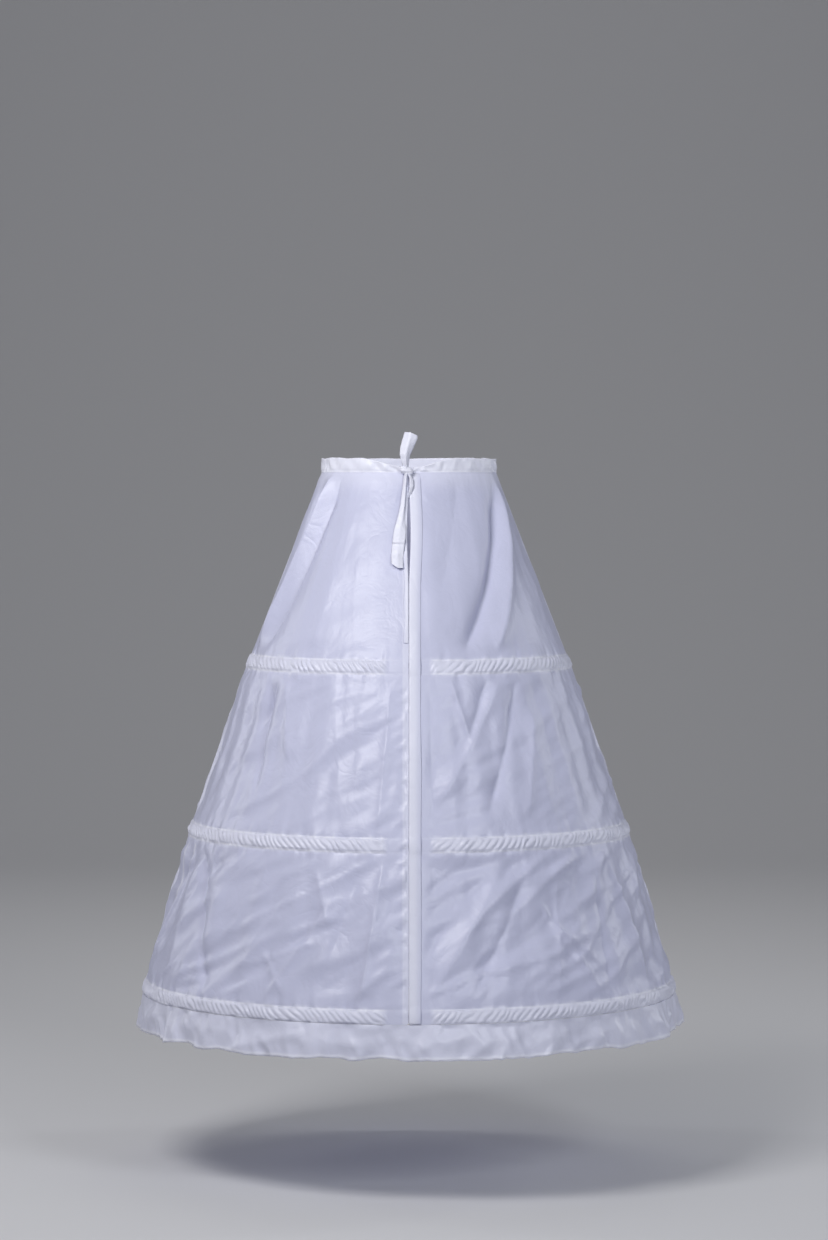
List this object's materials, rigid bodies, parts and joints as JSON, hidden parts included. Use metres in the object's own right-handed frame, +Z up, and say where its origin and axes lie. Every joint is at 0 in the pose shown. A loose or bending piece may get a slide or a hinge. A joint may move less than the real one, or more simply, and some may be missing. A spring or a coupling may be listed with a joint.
{
  "type": "hoop petticoat",
  "caption": "Cloth-covered hoop petticoat: a flared skirt of taffeta gores on sprung hoops in gathered channels, with a drawstring waistband tied at the back and a hem flounce.",
  "frame": {"origin": "middle of the waist opening, half way up the waistband", "axes": "+Z up along the wearer, +Y the way the wearer faces, +X the wearer's right"},
  "size_m": [0.91, 0.91, 0.9861],
  "materials": {
    "taffeta": "smooth white polyester taffeta with a soft sheen, single layer slightly see-through",
    "ribbon": "white taffeta ribbon, cut ends",
    "tape": "white woven casing tape",
    "covered_hoop": "white coated flat spring steel",
    "joiner_steel": "crimped plated steel sleeve"
  },
  "bodies": {
    "root": {"front_panel_left": "taffeta", "front_panel_right": "taffeta", "back_panel_left": "taffeta", "back_panel_right": "taffeta", "back_seam_strip": "taffeta", "placket_binding": "taffeta", "waistband": "taffeta", "hem_flounce": "taffeta", "drawstring": "ribbon", "casing_tape_upper": "tape", "casing_tape_middle": "tape", "casing_tape_lower": "tape", "hoop_upper": "covered_hoop", "hoop_middle": "covered_hoop", "hoop_lower": "covered_hoop", "hoop_joiner_upper": "joiner_steel", "hoop_joiner_middle": "joiner_steel", "hoop_joiner_lower": "joiner_steel"}
  },
  "joints": []
}
